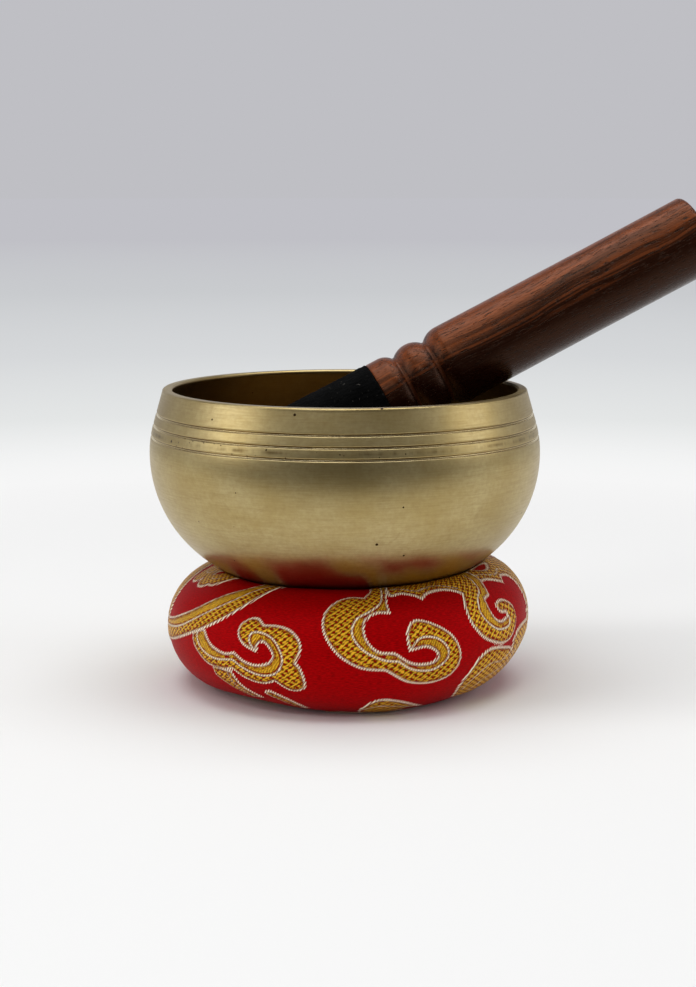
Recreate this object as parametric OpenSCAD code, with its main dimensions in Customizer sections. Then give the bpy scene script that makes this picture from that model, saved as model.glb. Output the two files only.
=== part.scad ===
// Singing bowl on a sewn ring cushion, with its wrapped striking mallet laid in the bowl.
// Millimetres, +Z up. The origin is on the bowl's axis, level with the table under the cushion.
// The mallet leans over the rim towards +X.

/* [Bowl] */
// Widest diameter of the bowl
bowl_d = 100; // [85:1:125]
// Height of the bowl from its foot to its rim
bowl_h = 49.7; // [42:0.1:60]
// Drop from the rim down to the widest level
belly_drop = 16.4; // [13.6:0.1:20]
// Height of the straight lip above the belly curve
lip_h = 8.7; // [7:0.1:10.5]
// Inward lean of the straight lip, in degrees
lip_lean = 16; // [10:1:20]
// Diameter of the flat foot
foot_d = 34; // [28:1:41]
// Thickness of the cast wall
wall = 2.4; // [2:0.1:2.9]
// Rounding of the rim's outer edge
rim_round = 0.6; // [0.3:0.1:0.9]
// Bevel of the rim's inner edge
rim_bevel = 0.4; // [0.2:0.1:0.6]

/* [Incised lines] */
// Drop from the rim down to the first line
line_first = 6.1; // [5:0.1:7.4]
// Distance from one line to the next
line_step = 2.85; // [2.3:0.05:3.5]
// Number of lines
line_count = 3; // [1:1:3]
// Width of a line at the surface
line_w = 0.8; // [0.5:0.1:1]

/* [Mallet] */
// Diameter of the handle
handle_d = 21.2; // [18:0.1:25]
// Length of the handle, butt to first groove
handle_len = 78; // [65:1:95]
// Length of the rounded shoulder at the handle's inner end
shoulder_len = 4.7; // [4:0.1:5.6]
// Diameter over the two beads
bead_d = 20.5; // [18.6:0.1:24.6]
// Length of the full bead beside the handle
long_bead = 8.7; // [7.3:0.1:10.4]
// Length of the half bead beside the wrap
short_bead = 7.2; // [6:0.1:8.6]
// Length of the half bead that is rounded down to its groove
bead_fall = 3.8; // [3.2:0.1:4.6]
// Diameter at the bottom of the two grooves
groove_d = 17.2; // [15:0.1:17.6]
// Width of the flat at the bottom of a groove
groove_w = 0.5; // [0.4:0.1:0.8]
// Length of the suede wrap
wrap_len = 57; // [48:1:68]
// Diameter over the suede wrap
wrap_d = 21; // [18:0.1:25]
// Thickness of the suede
suede_t = 1.2; // [1:0.1:1.5]
// Length of bare wood beyond the wrap at the striking tip
tip_out = 1.1; // [0.9:0.1:1.4]
// Rounding of the butt's edge
butt_round = 1.4; // [1.1:0.1:1.7]
// Rounding of the tip's edge
tip_round = 1; // [0.8:0.1:1.2]

/* [How the mallet lies] */
// Slope of the mallet, in degrees above level
mallet_lean = 27.2; // [24:0.1:30]
// Heading of the butt, in degrees from +X towards +Y
mallet_turn = 8; // [0:1:16]
// Distance from the bowl's axis to the mallet's axis, seen from above
mallet_offset = 7.2; // [4:0.1:10]

/* [Cushion] */
// Outer diameter of the ring cushion
cushion_d = 93.6; // [80:0.1:112]
// Diameter of the stuffed tube
tube_d = 31.6; // [26.4:0.1:37]
// Height that the tube's underside flattens by on the table
tube_flat = 0.5; // [0.3:0.1:0.8]
// Depth that the bowl presses into the tube
bowl_sink = 2.3; // [1.9:0.1:2.8]
// Thickness of the brocade cover with its backing
cover_t = 0.8; // [0.6:0.1:1]
// Thickness of the sewing thread
thread_d = 0.5; // [0.4:0.1:0.6]
// Place of the ring seam on the tube, in degrees below the level of the hole
ring_seam_dip = 25; // [15:1:35]
// Heading of the joint where the tube's ends meet, in degrees from +X towards +Y
join_heading = 100; // [60:1:140]

/* [Clearances] */
// Gap from the bowl to the soft cushion
soft_gap = 0.3; // [0.2:0.05:0.4]
// Gap from the mallet to the bowl where it rests
rest_gap = 0.3; // [0.2:0.05:0.4]
// Gap between two pieces of one glued or stuffed assembly
fill_gap = 0.05; // [0.03:0.01:0.1]

/* [Hidden] */
$fn = 96;

// Radius of the arc that starts level and falls by `drop` over the length `run`
function arc_radius(run, drop) = (run * run + drop * drop) / (2 * drop);

// Bowl: an arc below the belly, an arc above it, then the straight lip
bowl_r = bowl_d / 2;
low_h = bowl_h - belly_drop;
low_arc = arc_radius(low_h, bowl_r - foot_d / 2);
high_arc = (belly_drop - lip_h) / sin(lip_lean);
lip_base_r = bowl_r - high_arc * (1 - cos(lip_lean));
rim_r = lip_base_r - lip_h * tan(lip_lean);
rim_in_r = rim_r - wall / cos(lip_lean);
low_centre_r = bowl_r - low_arc;

// Cushion: a tube bent round into a ring, pressed flat below
tube_r = tube_d / 2;
ring_r = cushion_d / 2 - tube_r;
tube_z = tube_r - tube_flat;
thread_r = thread_d / 2;
sewn_r = tube_r + fill_gap + thread_r;

// The bowl sinks into the tube by bowl_sink along the line between the two centres
centre_reach = low_arc + tube_r - bowl_sink;
belly_z = tube_z + sqrt(pow(centre_reach, 2) - pow(ring_r - low_centre_r, 2));
foot_z = belly_z - low_h;
rim_z = foot_z + bowl_h;
floor_z = foot_z + wall;

// Mallet: its own +Z runs from the striking tip to the butt
handle_r = handle_d / 2;
bead_r = bead_d / 2;
groove_r = groove_d / 2;
wrap_r = wrap_d / 2;
core_r = wrap_r - suede_t;
wrap_end = tip_out + wrap_len;
near_groove = wrap_end + short_bead;
far_groove = near_groove + long_bead;
mallet_len = far_groove + handle_len;

// The mallet's axis as a direction, and the level and the steep directions square to it
along = [cos(mallet_lean) * cos(mallet_turn), cos(mallet_lean) * sin(mallet_turn), sin(mallet_lean)];
across = [-sin(mallet_turn), cos(mallet_turn), 0];
steep = cross(along, across);

// A point of the mallet's axis: `high` above the table over the bowl's middle, `far` along the axis
function axis_point(high, far) = mallet_offset * across + [0, 0, high] + far * along;

// Gap between the handle and the rim's inner edge when the axis passes at height `high`
edge_r = rim_in_r + rim_bevel;
function edge_point(heading) = [edge_r * cos(heading), edge_r * sin(heading), rim_z];
function edge_gap(high, heading) =
    norm(cross(edge_point(heading) - axis_point(high, 0), along)) - handle_r;
function rim_gap(high) =
    min([for (turn = [-30 : 0.5 : 60]) edge_gap(high, mallet_turn + turn)]);

// Gap from a point inside the bowl to the wall or the floor
function wall_gap(p) =
    let (out = max(0, norm([p.x, p.y]) - low_centre_r), down = max(0, belly_z - p.z))
    min(p.z - floor_z, low_arc - wall - norm([out, down]));

// Gap between the striking tip and the bowl when the tip is at `far` along the axis
function ring_point(high, far, r, turn) =
    axis_point(high, far) + r * (cos(turn) * across + sin(turn) * steep);
function tip_gap(high, far) = min([for (turn = [0 : 4 : 356])
    min(wall_gap(ring_point(high, far + tip_out, wrap_r, turn)),
        wall_gap(ring_point(high, far + tip_round, core_r - tip_round, turn)) - tip_round)]);

// Halve the span between a place that is too close and one that is clear
function rest_height(close, clear, halvings) =
    let (mid = (close + clear) / 2)
    halvings == 0 ? clear
    : rim_gap(mid) < rest_gap ? rest_height(mid, clear, halvings - 1)
    : rest_height(close, mid, halvings - 1);
function rest_depth(close, clear, high, halvings) =
    let (mid = (close + clear) / 2)
    halvings == 0 ? clear
    : tip_gap(high, mid) < rest_gap ? rest_depth(mid, clear, high, halvings - 1)
    : rest_depth(close, mid, high, halvings - 1);

mallet_high = rest_height(rim_z - bowl_h, rim_z + bowl_h, 24);
mallet_far = rest_depth(-2 * bowl_d, -bowl_d / 4, mallet_high, 24);

// Filled outline of the bowl, right of its axis, for a skin that lies `inset` inside the outside
module bowl_outline(inset) {
    lip_inset = inset / cos(lip_lean);
    translate([0, belly_z - low_h + inset])
        intersection() {
            square([bowl_r, low_h - inset]);
            union() {
                translate([low_centre_r, low_h - inset]) circle(low_arc - inset);
                square([max(low_centre_r, 0.01), low_h - inset]);
            }
        }
    translate([0, belly_z])
        intersection() {
            square([bowl_r, belly_drop - lip_h]);
            union() {
                translate([bowl_r - high_arc, 0]) circle(high_arc - inset);
                square([bowl_r - high_arc, belly_drop - lip_h]);
            }
        }
    translate([0, rim_z - lip_h])
        polygon([[0, 0], [lip_base_r - lip_inset, 0], [rim_r - lip_inset, lip_h], [0, lip_h]]);
}

// Radius of the bowl's outside, `drop` below the rim, above the belly
function outside_r(drop) =
    drop <= lip_h ? rim_r + drop * tan(lip_lean)
    : bowl_r - high_arc + sqrt(pow(high_arc, 2) - pow(belly_drop - drop, 2));

// The corner that the rim's rounded outer edge leaves bare
module rim_corner() {
    translate([rim_r - rim_round, rim_z - rim_round])
        difference() {
            square(2 * rim_round);
            circle(rim_round);
        }
}

// One V-shaped incised line
module incised_line(drop) {
    translate([outside_r(drop), rim_z - drop]) rotate(45) square(line_w / sqrt(2), center = true);
}

module bowl() {
    color("darkkhaki")
        rotate_extrude()
            difference() {
                bowl_outline(0);
                bowl_outline(wall);
                rim_corner();
                translate([rim_in_r, rim_z]) rotate(45) square(rim_bevel * sqrt(2), center = true);
                for (i = [0 : line_count - 1]) incised_line(line_first + i * line_step);
            }
}

// Outline over the length `run` that falls in an arc from `peak` to half of a groove's flat
module falling_arc(peak, run) {
    arc = arc_radius(run - groove_w / 2, peak - groove_r);
    square([groove_r, run]);
    intersection() {
        square([peak, run]);
        translate([peak - arc, 0]) circle(arc);
    }
}

// Cylinder outline with one rounded edge at its far end
module rounded_end(r, len, round) {
    square([r, len - round]);
    square([r - round, len]);
    translate([r - round, len - round]) circle(round);
}

// Lays a piece made along +Z where the mallet lies
module laid_in_bowl() {
    translate(axis_point(mallet_high, mallet_far))
        rotate([0, 90 - mallet_lean, mallet_turn])
            children();
}

module mallet_handle() {
    color("saddlebrown")
        laid_in_bowl()
            rotate_extrude() {
                translate([0, wrap_end]) mirror([0, 1]) rounded_end(core_r, wrap_end, tip_round);
                translate([0, wrap_end]) square([bead_r, short_bead - bead_fall]);
                translate([0, near_groove - bead_fall]) falling_arc(bead_r, bead_fall);
                translate([0, near_groove + long_bead / 2]) falling_arc(bead_r, long_bead / 2);
                translate([0, near_groove + long_bead / 2]) mirror([0, 1])
                    falling_arc(bead_r, long_bead / 2);
                translate([0, far_groove + shoulder_len]) mirror([0, 1])
                    falling_arc(handle_r, shoulder_len);
                translate([0, far_groove + shoulder_len])
                    rounded_end(handle_r, handle_len - shoulder_len, butt_round);
            }
}

module mallet_wrap() {
    color("dimgray")
        laid_in_bowl()
            rotate_extrude()
                translate([core_r + fill_gap, tip_out])
                    square([suede_t - fill_gap, wrap_len - fill_gap]);
}

// Section of the stuffed tube, for a skin that lies `inset` inside the brocade's outside
module tube_section(inset) {
    difference() {
        translate([ring_r, tube_z]) circle(tube_r - inset);
        translate([low_centre_r, belly_z]) circle(low_arc + soft_gap + inset);
        translate([0, inset - tube_d]) square([cushion_d, tube_d]);
    }
}

module cushion_cover() {
    color("firebrick")
        rotate_extrude()
            difference() {
                tube_section(0);
                tube_section(cover_t);
            }
}

module cushion_filling() {
    color("ivory")
        rotate_extrude() tube_section(cover_t + fill_gap);
}

// Thread that closes the cover's long seam, round the side of the hole
module ring_seam_thread() {
    color("maroon")
        rotate_extrude()
            translate([ring_r - sewn_r * cos(ring_seam_dip), tube_z - sewn_r * sin(ring_seam_dip)])
                circle(thread_r);
}

// Thread that joins the tube's two ends, from low on its outer side to near its crown
module join_seam_thread() {
    color("maroon")
        rotate([0, 0, join_heading])
            translate([ring_r, 0, tube_z])
                rotate([90, 0, 0])
                    rotate([0, 0, -50])
                        rotate_extrude(angle = 115)
                            translate([sewn_r, 0]) circle(thread_r);
}

bowl();
mallet_handle();
mallet_wrap();
cushion_cover();
cushion_filling();
ring_seam_thread();
join_seam_thread();
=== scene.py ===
# %% [markdown]
# # A singing bowl on its brocade ring cushion, with the mallet laid in it
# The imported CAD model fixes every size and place, and this script gives it its looks. Each piece is a
# surface worked out with numpy in millimetres on a grid, and scaled to metres when it becomes a mesh.
# The brass bowl and the turned mallet are outlines spun round an axis, the cushion is a stuffed ring
# that is blown up by a cloth simulation, and its pattern is drawn on the cloth as smooth curves.

from functools import partial
from math import cos, pi, radians, sin

import bpy
import numpy as np
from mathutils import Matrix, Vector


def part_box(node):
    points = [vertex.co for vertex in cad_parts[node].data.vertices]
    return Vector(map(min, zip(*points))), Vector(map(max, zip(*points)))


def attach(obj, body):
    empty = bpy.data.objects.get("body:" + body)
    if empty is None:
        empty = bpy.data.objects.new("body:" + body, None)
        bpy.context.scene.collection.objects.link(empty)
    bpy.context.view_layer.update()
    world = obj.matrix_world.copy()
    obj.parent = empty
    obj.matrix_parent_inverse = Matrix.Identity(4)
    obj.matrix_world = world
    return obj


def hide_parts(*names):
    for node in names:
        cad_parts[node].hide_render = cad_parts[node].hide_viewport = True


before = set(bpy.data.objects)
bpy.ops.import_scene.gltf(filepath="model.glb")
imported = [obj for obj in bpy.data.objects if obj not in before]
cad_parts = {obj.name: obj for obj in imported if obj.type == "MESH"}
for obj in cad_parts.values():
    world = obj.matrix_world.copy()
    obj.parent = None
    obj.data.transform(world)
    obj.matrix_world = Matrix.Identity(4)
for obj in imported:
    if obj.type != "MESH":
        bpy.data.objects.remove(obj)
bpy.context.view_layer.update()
MM = 0.001

# %% [markdown]
# The driving sizes are those of the CAD source, in millimetres. The bowl's foot, rim and width are read
# from the frame itself, so that the pieces made here sit where the solids do.

# %% Driving sizes
bowl_low, bowl_high = (np.array(corner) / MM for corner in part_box("bowl"))
BOWL_R = (bowl_high[0] - bowl_low[0]) / 2
FOOT_Z = bowl_low[2]
RIM_Z = bowl_high[2]
FOOT_R = 17
WALL = 2.4
BELLY_DROP = 16.4
LIP_H = 8.7
LIP_LEAN = radians(16)
RIM_ROUND = 0.6
RIM_BEVEL = 0.4
LINE_DROPS = [6.1, 8.95, 11.8]
LINE_DEPTH = 0.45
LINE_HALF = 0.48
POLE_GAP = 2

TUBE_R = 15.8
RING_R = (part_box("cushion_cover")[1][0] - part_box("cushion_cover")[0][0]) / MM / 2 - TUBE_R
TUBE_Z = 15.3
SOFT_GAP = 0.3

MALLET_LEAN = radians(27.2)
MALLET_TURN = radians(8)
MALLET_POINT = np.array([-41.05, 1.50, 45.29])
print("bowl radius, foot and rim:", BOWL_R, FOOT_Z, RIM_Z, "ring radius:", RING_R)

# %% [markdown]
# A grid of points becomes a mesh in one way for every piece. Rows run along the outline and columns
# run round it. Where an outline starts or ends near the axis, a fan of triangles closes the pole.
# A volume above zero says that the faces look outwards.

# %% From a grid of points to a mesh
def grid_corners(rows, columns, wrap_rows, wrap_columns):
    """The (row, column) corners of each face, running on past the last line where a grid wraps."""
    row, column = np.meshgrid(
        np.arange(rows if wrap_rows else rows - 1),
        np.arange(columns if wrap_columns else columns - 1), indexing="ij")
    corners = [(row, column), (row, column + 1), (row + 1, column + 1), (row + 1, column)]
    return np.stack([np.stack([r.ravel(), c.ravel()], -1) for r, c in corners], 1)


def grid_faces(rows, columns, wrap_rows=False, wrap_columns=True):
    """Vertex numbers of each face, where a vertex's number is row * columns + column."""
    corners = grid_corners(rows, columns, wrap_rows, wrap_columns)
    return (corners[..., 0] % rows) * columns + corners[..., 1] % columns


def volume_of(points, faces):
    """Volume inside a closed mesh: the sum over its triangles of a · (b × c) / 6."""
    a, b, c = (points[faces[:, i]] for i in range(3))
    total = np.einsum("ij,ij->", a, np.cross(b, c))
    if faces.shape[1] == 4:
        total += np.einsum("ij,ij->", a, np.cross(c, points[faces[:, 3]]))
    return total / 6


def make_piece(name, points, face_sets, fields=None, face_uv=None):
    """Mesh object from points in mm and lists of faces with 3 or 4 corners; fields are values per point."""
    mesh = bpy.data.meshes.new(name)
    points = points.reshape(-1, 3)
    mesh.vertices.add(len(points))
    mesh.vertices.foreach_set("co", (points * MM).ravel())
    sizes = np.concatenate([np.full(len(f), f.shape[1]) for f in face_sets])
    mesh.loops.add(int(sizes.sum()))
    mesh.loops.foreach_set("vertex_index", np.concatenate([f.ravel() for f in face_sets]))
    mesh.polygons.add(len(sizes))
    mesh.polygons.foreach_set("loop_start", np.concatenate([[0], np.cumsum(sizes)[:-1]]))
    mesh.polygons.foreach_set("use_smooth", np.ones(len(sizes), bool))
    for field, values in (fields or {}).items():
        layer = mesh.attributes.new(field, "FLOAT", "POINT")
        layer.data.foreach_set("value", values.ravel().astype(np.float32))
    if face_uv is not None:
        layer = mesh.uv_layers.new(name="cloth")
        layer.data.foreach_set("uv", face_uv.reshape(-1).astype(np.float32))
    mesh.update(calc_edges=True)
    piece = bpy.data.objects.new(name, mesh)
    bpy.context.scene.collection.objects.link(piece)
    volume = sum(volume_of(points, f) for f in face_sets)
    triangles = int((sizes - 2).sum())
    print(f"{name}: {triangles} triangles, volume {volume / 1000:.2f} ml")
    return piece


def line(start, end, count):
    """Points from start up to, but not at, end, evenly spaced."""
    share = np.arange(count)[:, None] / count
    return np.array(start) + (np.array(end) - np.array(start)) * share


def arc(centre, radius, start, end, count):
    """Points on a circle from the angle start up to, but not at, end, in radians."""
    angle = start + (end - start) * np.arange(count) / count
    return np.array(centre) + radius * np.stack([np.cos(angle), np.sin(angle)], -1)


def steps_round(count):
    """Angles in equal steps, once round a circle."""
    return 2 * pi * np.arange(count) / count


def unit(vectors):
    """Vectors of the same directions and of length one."""
    return vectors / np.linalg.norm(vectors, axis=-1, keepdims=True)


def spun(outline, columns):
    """Spins (radius, height) points round Z: x = r cos a and y = r sin a, for angles a in equal steps."""
    angle = steps_round(columns)
    radius = outline[:, :1]
    height = np.broadcast_to(outline[:, 1:], (len(outline), columns))
    return np.stack([radius * np.cos(angle), radius * np.sin(angle), height], -1)


def pole_fans(rows, columns):
    """Triangles from the grid's first row to the vertex after the grid, and from its last row to the next."""
    here = np.arange(columns)
    beyond = (here + 1) % columns
    first = np.stack([beyond, here, np.full(columns, rows * columns)], -1)
    last_row = (rows - 1) * columns
    last = np.stack([last_row + here, last_row + beyond, np.full(columns, rows * columns + 1)], -1)
    return np.concatenate([first, last])


def edge_normals(outline):
    """Unit vectors square to an open outline, on its right-hand side as it is followed."""
    run = unit(np.gradient(outline, axis=0))
    return np.stack([run[:, 1], -run[:, 0]], -1)

# %% [markdown]
# The bowl is cast brass, turned smooth on a lathe. Its outline goes from the middle of the foot up the
# outside, over the rim and down the inside. The outside below and above the belly is two arcs, then
# comes a straight lip that leans in. Three lines are cut into it, each a small valley whose depth
# follows a squared cosine, so that its edges are as rounded as a cut line's are after polishing.

# %% The bowl's outline
def arc_radius(run, drop):
    """Radius of the arc that starts level and falls by drop over the length run."""
    return (run * run + drop * drop) / (2 * drop)


low_h = RIM_Z - FOOT_Z - BELLY_DROP
BELLY_Z = RIM_Z - BELLY_DROP
LOW_ARC = arc_radius(low_h, BOWL_R - FOOT_R)
LOW_CENTRE = BOWL_R - LOW_ARC
high_arc = (BELLY_DROP - LIP_H) / sin(LIP_LEAN)
high_centre = BOWL_R - high_arc
lip_dir = np.array([-sin(LIP_LEAN), cos(LIP_LEAN)])
lip_out = np.array([cos(LIP_LEAN), sin(LIP_LEAN)])


def skin(inset, low_count, high_count, lip_count, top):
    """The bowl's curve from the end of the foot to the height top, a distance inset inside its outside."""
    foot_angle = -pi / 2 + 0.012
    lip_start = np.array([high_centre, BELLY_Z]) + (high_arc - inset) * lip_out
    lip_end = lip_start + lip_dir * (top - lip_start[1]) / lip_dir[1]
    return np.concatenate([
        arc((LOW_CENTRE, BELLY_Z), LOW_ARC - inset, foot_angle, 0, low_count),
        arc((high_centre, BELLY_Z), high_arc - inset, 0, LIP_LEAN, high_count),
        line(lip_start, lip_end, lip_count),
        [lip_end],
    ])


def with_lines(outside):
    """Adds closely spaced points over each cut line and pushes them in by depth * cos² of the offset."""
    offsets = LINE_HALF * np.linspace(-1.3, 1.3, 13)
    cuts = (RIM_Z - np.array(LINE_DROPS)[:, None] + offsets).ravel()
    height = np.sort(np.concatenate([outside[:, 1], cuts]))
    offset = height[:, None] - (RIM_Z - np.array(LINE_DROPS))
    near = np.abs(offset).min(1)
    keep = (near > 1.3 * LINE_HALF) | np.isin(height, cuts)
    height = height[keep]
    near = near[keep]
    side = np.sign(np.take_along_axis(offset, np.abs(offset).argmin(1)[:, None], 1)[keep, 0])
    curve = np.stack([np.interp(height, outside[:, 1], outside[:, 0]), height], -1)
    share = np.where(near < LINE_HALF, np.cos(pi * near / LINE_HALF / 2) ** 2, 0)
    # the second value is each line's share, plus above its middle and minus below it: the brass lays tarnish
    # with painted shade on the upper flank and a painted highlight on the lower one
    return curve - edge_normals(curve) * LINE_DEPTH * share[:, None], share * side


outside = skin(0, 92, 34, 22, RIM_Z - RIM_ROUND)
outside, line_share = with_lines(outside)
inside = skin(WALL, 56, 10, 12, RIM_Z - RIM_BEVEL)[::-1]
rim = np.concatenate([
    arc((outside[-1][0] - RIM_ROUND, RIM_Z - RIM_ROUND), RIM_ROUND, radians(12), pi / 2, 6),
    line((outside[-1][0] - RIM_ROUND, RIM_Z), (inside[0][0] + RIM_BEVEL, RIM_Z), 4),
    line((inside[0][0] + RIM_BEVEL, RIM_Z), inside[0], 3),
])
foot = line((POLE_GAP, FOOT_Z), outside[0], 6)
floor = line(inside[-1], (POLE_GAP, inside[-1][1]), 6)
bowl_outline = np.concatenate([foot, outside, rim, inside, floor])
line_field = np.zeros(len(bowl_outline))
line_field[len(foot):len(foot) + len(line_share)] = line_share
inside_field = np.zeros(len(bowl_outline))
inside_field[len(foot) + len(outside) + len(rim):] = 1
print("bowl outline:", len(bowl_outline), "points")

# %% [markdown]
# Cast metal that has been turned and handled is never quite true. A few slow waves, less than a tenth
# of a millimetre high, bend the reflections as they bend on the real bowl.

# %% The bowl
BOWL_COLUMNS = 352
OUT_OF_TRUE = 0.0007


def slow_waves(angle, height):
    """Sum of sines in angle and height, at most about 1 either way."""
    return (0.4 * np.sin(2 * angle + 0.7) + 0.25 * np.sin(3 * angle - height / 9)
            + 0.2 * np.sin(7 * angle + height / 6 + 1.9) + 0.15 * np.sin(11 * angle - height / 4))


bowl_points = spun(bowl_outline, BOWL_COLUMNS)
angle = steps_round(BOWL_COLUMNS)
swell = 1 + OUT_OF_TRUE * slow_waves(angle[None, :], bowl_outline[:, 1:])
bowl_points[..., :2] *= swell[..., None]
pole_points = np.array([[0, 0, FOOT_Z], [0, 0, inside[-1][1]]])
rows = len(bowl_outline)
bowl = make_piece(
    "singing_bowl", np.concatenate([bowl_points.reshape(-1, 3), pole_points]),
    [grid_faces(rows, BOWL_COLUMNS), pole_fans(rows, BOWL_COLUMNS)],
    fields={"cut_line": np.append(np.repeat(line_field, BOWL_COLUMNS), [0, 0]),
            "inside": np.append(np.repeat(inside_field, BOWL_COLUMNS), [0, 1])})
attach(bowl, "bowl")
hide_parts("bowl")

# %% [markdown]
# The mallet is one turned stick of rosewood: a thin core under the suede, two beads, and a plain handle
# with a rounded butt. The handle is a shade slimmer in its middle, as a hand-turned one is. It is made
# upright and then laid in the bowl by two turns, the lean and the heading.

# %% Laying a piece along the mallet's axis
def lay_mallet(points):
    """Turns local points (axis along Z, striking tip at 0) by the lean round Y, then the heading round Z."""
    tilt = pi / 2 - MALLET_LEAN
    lean = np.array([[cos(tilt), 0, sin(tilt)], [0, 1, 0], [-sin(tilt), 0, cos(tilt)]])
    turn = np.array([[cos(MALLET_TURN), -sin(MALLET_TURN), 0],
                     [sin(MALLET_TURN), cos(MALLET_TURN), 0], [0, 0, 1]])
    return points @ (turn @ lean).T + MALLET_POINT


# %% The turned handle
HANDLE_R = 10.6
BEAD_R = 10.25
GROOVE_R = 8.6
CORE_R = 9.3
WRAP_R = 10.5
TIP_OUT = 1.1
WRAP_END = 58.1
NEAR_GROOVE = 65.3
FAR_GROOVE = 74
BUTT = 152
BUTT_ROUND = 1.4
END_FLAT = 1.5
TIP_ROUND = 1
BEAD_ROUND = 0.25
BEAD_FALL = 3.8
SHOULDER = 4.7
GROOVE_FLAT = 0.25
GROOVE_HALF = 0.22
WAIST = 0.0875
TURNED_COLUMNS = 192


def bead_arc(start, end, peak, groove_end):
    """Points from start to end along an arc that is level at the peak and falls to the groove."""
    run = abs(end - start) - GROOVE_FLAT
    bend = arc_radius(run, peak - GROOVE_R)
    distance = np.linspace(0, run, 14)
    fall = peak - bend + np.sqrt(bend ** 2 - distance ** 2)
    if groove_end == "end":
        return np.stack([fall, start + distance], -1)
    return np.stack([fall, end - distance], -1)[::-1]


bead_mid = (NEAR_GROOVE + FAR_GROOVE) / 2
handle_run = line((HANDLE_R, FAR_GROOVE + SHOULDER), (HANDLE_R, BUTT - BUTT_ROUND), 60)
share = (handle_run[:, 1] - handle_run[0, 1]) / (BUTT - handle_run[0, 1])
handle_run[:, 0] -= share * (1 - share) * 4 * WAIST
handle_outline = np.concatenate([
    line((END_FLAT, 0), (CORE_R - TIP_ROUND, 0), 5),
    arc((CORE_R - TIP_ROUND, TIP_ROUND), TIP_ROUND, -pi / 2, 0, 5),
    line((CORE_R, TIP_ROUND), (CORE_R, WRAP_END), 12),
    line((CORE_R, WRAP_END), (BEAD_R - BEAD_ROUND, WRAP_END), 3),
    arc((BEAD_R - BEAD_ROUND, WRAP_END + BEAD_ROUND), BEAD_ROUND, -pi / 2, 0, 3),
    line((BEAD_R, WRAP_END + BEAD_ROUND), (BEAD_R, NEAR_GROOVE - BEAD_FALL), 6),
    bead_arc(NEAR_GROOVE - BEAD_FALL, NEAR_GROOVE, BEAD_R, "end"),
    bead_arc(NEAR_GROOVE, bead_mid, BEAD_R, "start")[:-1],
    bead_arc(bead_mid, FAR_GROOVE, BEAD_R, "end"),
    bead_arc(FAR_GROOVE, FAR_GROOVE + SHOULDER, HANDLE_R, "start")[:-1],
    handle_run,
    arc((HANDLE_R - BUTT_ROUND, BUTT - BUTT_ROUND), BUTT_ROUND, 0, pi / 2, 10),
    line((HANDLE_R - BUTT_ROUND, BUTT), (END_FLAT, BUTT), 8),
])
rows = len(handle_outline)
along_mallet = handle_outline[:, 1]
groove_gap = np.minimum(np.abs(along_mallet - NEAR_GROOVE), np.abs(along_mallet - FAR_GROOVE))
groove_field = np.exp(-(groove_gap / GROOVE_HALF) ** 2)
upright = np.concatenate([spun(handle_outline, TURNED_COLUMNS).reshape(-1, 3), [[0, 0, 0], [0, 0, BUTT]]])
handle = make_piece(
    "turned_handle", lay_mallet(upright),
    [grid_faces(rows, TURNED_COLUMNS), pole_fans(rows, TURNED_COLUMNS)],
    fields={"groove": np.append(np.repeat(groove_field, TURNED_COLUMNS), [0, 0])})
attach(handle, "mallet")
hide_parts("mallet_handle")

# %% [markdown]
# The striking end is wrapped in a strip of suede, glued on with its edges meeting in a straight joint.
# It is a sleeve with a real wall. Its nap lies unevenly, its cut edge wanders a little, and the joint
# shows as a shallow valley along one side.

# %% The suede sleeve
SUEDE_COLUMNS = 288
JOINT_AT = 0.6
JOINT_HALF = 0.35
SUEDE_ROUND = 0.4
SUEDE_IN = CORE_R + 0.06
SUEDE_END = WRAP_END - 0.05
edge_r = WRAP_R - SUEDE_ROUND
sleeve_outline = np.concatenate([
    line((SUEDE_IN, TIP_OUT), (edge_r, TIP_OUT), 3),
    arc((edge_r, TIP_OUT + SUEDE_ROUND), SUEDE_ROUND, -pi / 2, 0, 5),
    line((WRAP_R, TIP_OUT + SUEDE_ROUND), (WRAP_R, SUEDE_END - SUEDE_ROUND), 120),
    arc((edge_r, SUEDE_END - SUEDE_ROUND), SUEDE_ROUND, 0, pi / 2, 5),
    line((edge_r, SUEDE_END), (SUEDE_IN, SUEDE_END), 3),
    line((SUEDE_IN, SUEDE_END), (SUEDE_IN, TIP_OUT), 12),
])
sleeve = spun(sleeve_outline, SUEDE_COLUMNS)
angle = steps_round(SUEDE_COLUMNS)[None, :]
height = sleeve_outline[:, 1:]
outer_share = np.clip((sleeve_outline[:, :1] - SUEDE_IN) / (WRAP_R - SUEDE_IN), 0, 1)
random = np.random.default_rng(7)
nap = random.normal(size=(len(sleeve_outline), SUEDE_COLUMNS))
nap = (nap + np.roll(nap, 1, 1) + np.roll(nap, 1, 0) + np.roll(nap, (1, 1), (0, 1))) / 4
joint = np.exp(-((angle - JOINT_AT) * WRAP_R / JOINT_HALF) ** 2)
waves = 0.06 * np.sin(3 * angle + height / 7) + 0.05 * np.sin(5 * angle - height / 4 + 2)
lift = outer_share * (0.09 * nap + waves - 0.08 - 0.55 * joint)
sleeve[..., :2] *= 1 + (lift / WRAP_R)[..., None]
edge_wander = 0.12 * np.sin(9 * angle + 1) + 0.08 * np.sin(17 * angle)
near_edge = np.exp(-((height - WRAP_END) / 2) ** 2)
sleeve[..., 2] += np.minimum(near_edge * edge_wander * outer_share, 0.02)
wrap = make_piece(
    "suede_sleeve", lay_mallet(sleeve.reshape(-1, 3)),
    [grid_faces(len(sleeve_outline), SUEDE_COLUMNS, wrap_rows=True)])
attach(wrap, "mallet")
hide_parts("mallet_wrap")

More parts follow.
